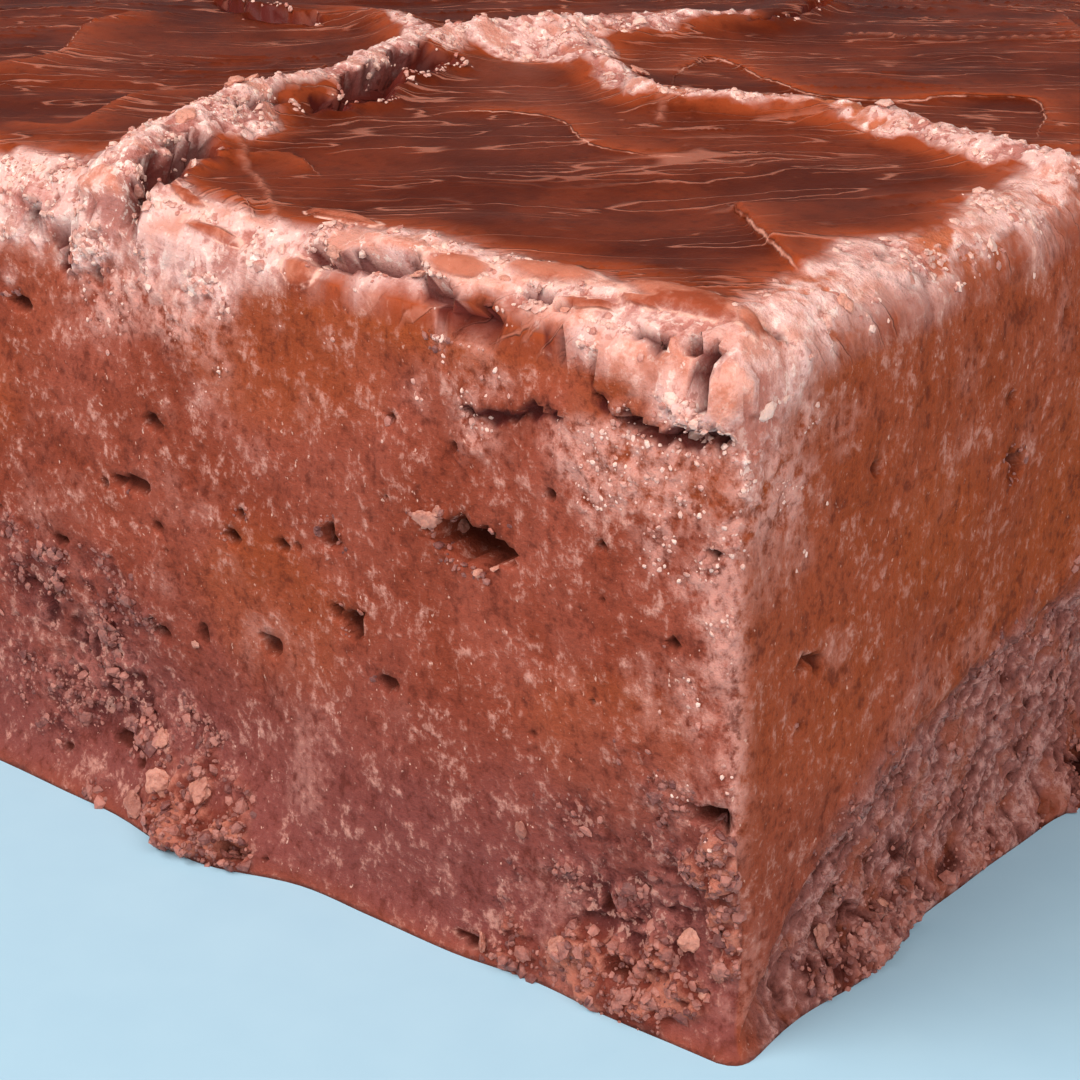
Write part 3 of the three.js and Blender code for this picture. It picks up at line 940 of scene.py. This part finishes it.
def add_rim(s, colour, pad):
    """The rim, the crests and the pads."""
    pale = s.plus(s.times(s.noise(1.2, 6.0, 0.7), 0.55), s.times(s["tone"], 0.45))
    grainy = s["grainy"]
    crust = s.layers(
        s.blend(srgb(177, 114, 104), srgb(225, 177, 167), s.ramp(pale, 0.34, 0.54)),
        ((238, 198, 184), s.times(s.ramp(s.value, 0.50, 0.60), 0.6)),
        ((146, 78, 66), s.times(s.between, s.plus(0.25, s.times(grainy, 0.4)))),
        ((188, 112, 88), s.times(s["core"], 0.7)),
    )
    broad = s.blend(srgb(196, 122, 100), srgb(228, 168, 152), s.ramp(s.noise(1.0, 5.0, 0.7), 0.4, 0.6))
    white = s.times(s.bright, s.plus(0.25, s.times(grainy, 0.75)))
    below = s.times(s.ramp(s["height"], 28.9, 26.8), s.ramp(s.fleck, 0.58, 0.46))
    crust = s.layers(
        s.blend(crust, broad, s.times(s["broad"], 0.9)),
        ((248, 220, 208), s.times(white, 0.9)),
        # Painted glow of light through the rim, in orange.
        ((182, 98, 66), s.times(s["painted_rim_glow"], s.ramp(pale, 0.60, 0.42))),
        ((160, 86, 68), s.times(below, 0.6)),
    )
    pad_colour = s.blend(srgb(146, 67, 42), srgb(190, 114, 90), s.ramp(pale, 0.4, 0.6))
    pad_edge = s.times(s.ramp(s["pad_q"], 1.30, 1.10), s.ramp(s["pad_q"], 0.90, 1.05))
    colour = s.blend(colour, crust, s.times(s["rim"], 0.94))
    return s.layers(
        s.blend(colour, pad_colour, pad),
        ((224, 166, 148), s.times(pad_edge, s.ramp(s.noise(0.8, 3.0, 0.6), 0.42, 0.6))),
        # Painted shade: dark inside the pockets and in the gaps between the rim's plates.
        ((64, 22, 13), s.times(s["pit"], 0.85)),
        # Painted shade: dark in the cracks and on their walls.
        ((84, 30, 27), s.times(s["crack"], 0.9)),
    )


def fudge_material():
    s = FudgeShader()
    skin = s["skin"]
    pad = s.times(s.ramp(s["pad_q"], 1.15, 0.65), 0.74)
    flow, thread = flow_lines(s)
    crease = flap_crease(s)
    colour = add_crumbling(s, cut_colour(s))
    colour = s.blend(colour, skin_colour(s, flow, thread, crease), skin)
    s.put(s.bsdf.inputs["Base Color"], add_rim(s, colour, pad))

    rough = s.blend((0.62,) * 3, (0.34,) * 3, skin)
    rough = s.blend(rough, (0.42,) * 3, s.plus(s.times(pad, 0.8), s.times(s["lip"], 0.5)))
    rough = s.blend(rough, (0.72,) * 3, s.times(s.most(s["line"], thread), 0.5))
    s.put(s.bsdf.inputs["Roughness"], rough)
    s.soften(0.05, 0.12, (1.0, 0.35, 0.2), 0.6)

    dull = s.math("SUBTRACT", 1.0, s.most(s.times(skin, 0.85), s.times(pad, 0.9)))
    bumps = s.times(s.value, s.plus(dull, s.times(s.most(s["torn"], s["crumb"]), 0.7)))
    bumps = s.plus(bumps, s.times(s.most(thread, crease), s.times(skin, 0.3)))
    s.bump(bumps, 0.45)
    return s.material


def grain_material(name, dark, light):
    s = Shader(name)
    share = s.plus(s.times(s.noise(0.35, 3.0, 0.6), 0.6), s.times(s["tone"], 0.4))
    s.put(s.bsdf.inputs["Base Color"], s.blend(srgb(*dark), srgb(*light), s.ramp(share, 0.25, 0.75)))
    s.bsdf.inputs["Roughness"].default_value = 0.55
    s.soften(0.45, 0.15, (1.0, 0.45, 0.3), 0.5)
    s.bump(s.noise(0.14, 2.0, 0.6), 0.06)
    return s.material


# ---- The slab ----

smear = np.maximum(pale, (face == RIGHT) * bell(v / 0.8) * smooth((z - 6) / 8))
smear = np.maximum(smear, (face == FRONT) * bell(u / 0.9) * smooth((z - 3) / 8))
smear = np.maximum(smear, is_side * 0.35 * smooth(2.2 * fractal(p, np.array([3.0, 3.0, 5.0]), 71, 3) - 0.7))
# Painted glow: orange where light shines a little way through the fudge, on the right and left sides, in
# patches on the others and in a band just under the top edge.
painted_glow = (face == RIGHT) * 0.7 + (face == LEFT) * 0.6 + 0.6 * smooth(0.2 + 2 * noise3(p, 7, 73)) * is_side
painted_glow = np.maximum(painted_glow, is_side * bell((over + 2.2 + 0.8 * coarse) / 1.8))
dusk = is_side * smooth((17 + 3 * coarse - z) / 14) * (1 - 0.6 * (face == RIGHT))
# Painted glow: orange in the rim where light shines through it, most along the right side's rim and a little
# near the front's corner.
painted_rim_glow = 0.22 * smooth((32 - u) / 8) + 0.73 * (strip == RIGHT) * smooth((v - 3) / 5)
painted_rim_glow = painted_rim_glow * smooth(0.3 + 1.6 * noise3(p, 4.5, 79))
near_rim = is_top * smooth((rim_in + 2.4 + 1.5 * coarse - over) / 2.4)
near_rim = np.maximum(near_rim, 0.9 * crest_side)
slab_points = np.vstack([points, [[*points[ring].mean(0)[:2], 0]]])
centre = len(points)
fan = [[int(b), int(a), centre] for a, b in zip(ring, np.roll(ring, -1))]
looks = dict(
    rim=loose * (1 - smooth_pad), crumb=crumb, torn=torn, skin=skin, pit=pit, line=line,
    flap=flap_tone, smear=smear, painted_glow=painted_glow, lip=lip, tone=0.5 + tone, grainy=grainy, clod=clod,
    flap_ends=flap_ends, core=core * (1 - smooth_pad), dusk=dusk, painted_rim_glow=painted_rim_glow, near_rim=near_rim,
)
looks = {key: np.clip(values, 0, 1) for key, values in looks.items()}
looks |= dict(
    flow_run=run, flow_cross=cross + bend, flap_gap=flap_gap, flap_near=flap_near, pad_q=pad_q,
    drag=drag, height=z, crack=crack, broad=broad * (1 - crack),
)
slab = new_mesh(
    "fudge", slab_points, quads.tolist() + fan, fudge_material(),
    {key: np.append(values, 0) for key, values in looks.items()}, rounded=True,
)
thin_out(slab)
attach(slab, "root")
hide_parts("fudge_block")

# ---- Grains ----

moved_normals, point_area = point_normals(points, quads)
GOLD = (1 + math.sqrt(5)) / 2
ICO_POINTS = np.array([
    (-1, GOLD, 0), (1, GOLD, 0), (-1, -GOLD, 0), (1, -GOLD, 0), (0, -1, GOLD), (0, 1, GOLD),
    (0, -1, -GOLD), (0, 1, -GOLD), (GOLD, 0, -1), (GOLD, 0, 1), (-GOLD, 0, -1), (-GOLD, 0, 1),
], float) / math.hypot(1, GOLD)
ICO_FACES = np.array([
    (0, 11, 5), (0, 5, 1), (0, 1, 7), (0, 7, 10), (0, 10, 11), (1, 5, 9), (5, 11, 4), (11, 10, 2),
    (10, 7, 6), (7, 1, 8), (3, 9, 4), (3, 4, 2), (3, 2, 6), (3, 6, 8), (3, 8, 9), (4, 9, 5),
    (2, 4, 11), (6, 2, 10), (8, 6, 7), (9, 8, 1),
])


def split_once(points, faces):
    """Cuts each triangle of a ball into four."""
    points, made, middle = list(points), [], {}

    def between(a, b):
        key = min(a, b), max(a, b)
        if key not in middle:
            m = points[a] + points[b]
            middle[key] = len(points)
            points.append(m / np.linalg.norm(m))
        return middle[key]

    for a, b, c in faces:
        ab, bc, ca = between(a, b), between(b, c), between(c, a)
        made += [(a, ab, ca), (b, bc, ab), (c, ca, bc), (ab, bc, ca)]
    return np.array(points), np.array(made)


def random_turns(count):
    """Turns every way equally often, from random quaternions."""
    q = rng.normal(size=(count, 4))
    q /= np.linalg.norm(q, axis=1)[:, None]
    w, axis = q[:, :1, None], q[:, 1:]
    turned = np.cross(axis[:, None], np.eye(3)).swapaxes(1, 2)
    return (2 * w * w - 1) * np.eye(3) + 2 * axis[:, :, None] * axis[:, None] + 2 * w * turned


SINK = 0.1


def joined(cloud, ball_faces, tone):
    """Many grains as one mesh: points, none of them under the floor, faces and each point's tone."""
    count, size = cloud.shape[:2]
    cloud[:, :, 2] = np.maximum(cloud[:, :, 2], 0)
    faces = (ball_faces[None] + size * np.arange(count)[:, None, None]).reshape(-1, 3)
    return cloud.reshape(-1, 3), faces, np.repeat(tone, size)


def grain_cloud(weight, count, smallest, largest, flat=0.6):
    """Angular grains seated in the slab, more of them where weight is high. Small ones are the commonest."""
    chance = weight * point_area
    seats = rng.choice(len(points), count, p=chance / chance.sum())
    radius = smallest * (largest / smallest) ** (rng.uniform(size=count) ** 2.2)
    stretch = rng.uniform(0.7, 1.35, (count, 3))
    lumps = 1 + rng.uniform(-0.3, 0.3, (count, len(ICO_POINTS)))
    shaped = ICO_POINTS[None] * lumps[:, :, None] * (radius[:, None] * stretch)[:, None, :]
    shaped = np.einsum("nij,nkj->nki", random_turns(count), shaped)
    normal = moved_normals[seats]
    upright = np.einsum("nki,ni->nk", shaped, normal)
    shaped -= (1 - flat) * upright[:, :, None] * normal[:, None, :]
    cloud = shaped + (points[seats] - SINK * normal * (radius * flat)[:, None])[:, None, :]
    return joined(cloud, ICO_FACES, rng.uniform(size=count))


def grain_piece(name, material, clouds):
    parts, faces, tones = zip(*clouds)
    starts = np.cumsum([0, *map(len, parts)])
    faces = np.vstack([cloud_faces + start for cloud_faces, start in zip(faces, starts)])
    tone = dict(tone=np.concatenate(tones))
    piece = new_mesh(name, np.vstack(parts), faces.tolist(), material, tone, rounded=False)
    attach(piece, "root")


# Single flakes that stand out: (face, place along, height or v, radius).
FLAKES = [
    (FRONT, 16.1, 20.7, 0.55), (FRONT, 15.6, 20.1, 0.32), (FRONT, 12.4, 19.4, 0.26),
    (FRONT, 13.4, 18.9, 0.24), (FRONT, 15.7, 21.3, 0.26), (FRONT, 12.2, 20.0, 0.2),
    (FRONT, 20.4, 15.0, 0.22), (FRONT, 31.5, 10.2, 0.24), (TOP, 39.6, 13.8, 0.75), (TOP, 39.2, 12.6, 0.45),
    (TOP, 37.5, 7.4, 0.5), (TOP, 28.2, 31.2, 0.6), (TOP, 9.6, 0.9, 0.35), (TOP, 17.3, 1.0, 0.4),
    (TOP, 21.8, 0.9, 0.4), (TOP, 13.0, 1.5, 0.3), (TOP, 1.0, 8.0, 0.4),
    (FRONT, 13.1, 0.9, 0.42), (FRONT, 9.2, 2.3, 0.5), (FRONT, 7.6, 1.4, 0.35), (FRONT, 11.4, 7.2, 0.36),
    (FRONT, 3.0, 4.4, 0.6), (FRONT, 2.1, 2.6, 0.5), (FRONT, 1.2, 3.6, 0.45), (RIGHT, 30.5, 1.2, 1.0),
    (RIGHT, 7.8, 2.6, 0.6), (RIGHT, 12.5, 2.0, 0.45), (FRONT, 33.6, 2.4, 0.8), (FRONT, 31.0, 2.8, 0.6),
    (FRONT, 35.0, 1.0, 0.7), (FRONT, 29.6, 1.2, 0.5), (FRONT, 34.2, 4.2, 0.45),
]


def flake_cloud():
    seats = []
    for number, a, b, _ in FLAKES:
        gap = np.hypot(along - a, z - b) if number != TOP else np.hypot(u - a, v - b)
        seats.append(np.argmin(np.where(face == number, gap, 99)))
    seats = np.array(seats)
    radius = np.array([flake[3] for flake in FLAKES])[:, None, None]
    count = len(seats)
    ball, ball_faces = split_once(*split_once(ICO_POINTS, ICO_FACES))
    own_place = (ball[None] + 9 * np.arange(count)[:, None, None]).reshape(-1, 3)
    lumps = 0.9 + 0.4 * noise3(own_place, 0.9, 91) + 0.3 * noise3(own_place, 0.45, 93)
    lumps = lumps.reshape(count, len(ball), 1)
    shaped = ball[None] * lumps * radius * rng.uniform(0.75, 1.25, (count, 1, 3))
    normal = moved_normals[seats][:, None, :]
    shaped -= 0.6 * np.sum(shaped * normal, axis=2, keepdims=True) * normal
    cloud = shaped + points[seats][:, None, :] + 0.15 * radius * normal
    tone = np.where([flake[0] == TOP for flake in FLAKES], 1.0, rng.uniform(0.2, 0.8, count))
    return joined(cloud, ball_faces, tone)


seen = 0.35 + 0.65 * smooth((60 - u) / 20) * smooth((56 - v) / 20)
whole = (1 - pit) * (1 - smooth_pad) * seen
clumps = smooth(0.1 + 2.2 * mid)
crumbs = (1 - pit) * seen
foot_crumbs = is_side * smooth((1.6 - z) / 1.0) * smooth(0.3 + 2 * coarse)
pale_grain = grain_material("pale_grain", (176, 108, 94), (230, 184, 168))
brown_grain = grain_material("brown_grain", (100, 47, 41), (168, 103, 89))
flake = grain_material("flake", (136, 74, 60), (196, 132, 112))
grain_piece("rim_grains", pale_grain, [
    grain_cloud(grainy ** 2 * clumps * whole, 3600, 0.06, 0.21),
    grain_cloud((loose * plate_edge) ** 2 * clumps * whole, 800, 0.14, 0.40, 0.45),
    grain_cloud(pale * clumps * whole, 900, 0.05, 0.15),
])
grain_piece("side_grains", brown_grain, [
    grain_cloud(np.maximum(crumb, 0.5 * torn) * crumbs * smooth(0.4 + 2 * mid), 4200, 0.06, 0.22, 0.5),
    grain_cloud(crumb ** 2 * clumps * crumbs, 600, 0.14, 0.38, 0.4),
    grain_cloud(ring_grain * (1 - pit), 800, 0.07, 0.22),
    grain_cloud(np.maximum(clod, foot_crumbs) * seen, 1400, 0.10, 0.36, 0.8),
])
grain_piece("flakes", flake, [flake_cloud()])

# ---- Floor, light and camera ----

CORNER = Vector((HALF_X + shift[0], -HALF_Y + shift[1], 0)) * MM
CAMERA_OFFSET = Vector((50.1, -75.6, 61.5)) * MM
CAMERA_TURN = 38.5
CAMERA_TILT = 22.6
LENS = 85.1

bpy.ops.mesh.primitive_plane_add(size=4)
floor = bpy.context.object
floor.name = "floor"
paper = Shader("paper")
paper.put(paper.bsdf.inputs["Base Color"], paper.blend(
    srgb(156, 190, 209), srgb(164, 197, 214), paper.noise(4.0, 3.0, 0.5)))
paper.bsdf.inputs["Roughness"].default_value = 0.8
floor.data.materials.append(paper.material)


LIT_POINT = Vector((0, 0, 0.015))


def soft_light(name, place, size, power, colour):
    data = bpy.data.lights.new(name, "AREA")
    data.shape = "SQUARE"
    data.size = size
    data.energy = power
    data.color = colour
    lamp = bpy.data.objects.new(name, data)
    lamp.location = place
    lamp.rotation_euler = (LIT_POINT - Vector(place)).to_track_quat("-Z", "Y").to_euler()
    scene.collection.objects.link(lamp)


soft_light("key", (-0.16, -0.38, 0.40), 0.40, 3.65, (1.0, 0.97, 0.94))
soft_light("fill", (0.42, -0.26, 0.30), 0.5, 3.2, (1.0, 0.98, 0.96))

world = bpy.data.worlds.new("room")
world.use_nodes = True
background = world.node_tree.nodes["Background"].inputs
background["Color"].default_value = (0.90, 0.95, 1.0, 1)
background["Strength"].default_value = 0.20
scene.world = world
scene.view_settings.view_transform = "Standard"

camera_data = bpy.data.cameras.new("camera")
camera_data.lens = LENS
camera_data.clip_start = 0.005
camera = bpy.data.objects.new("camera", camera_data)
camera.location = CORNER + CAMERA_OFFSET
camera.rotation_euler = (math.radians(90 - CAMERA_TILT), 0, math.radians(CAMERA_TURN))
scene.collection.objects.link(camera)
scene.camera = camera
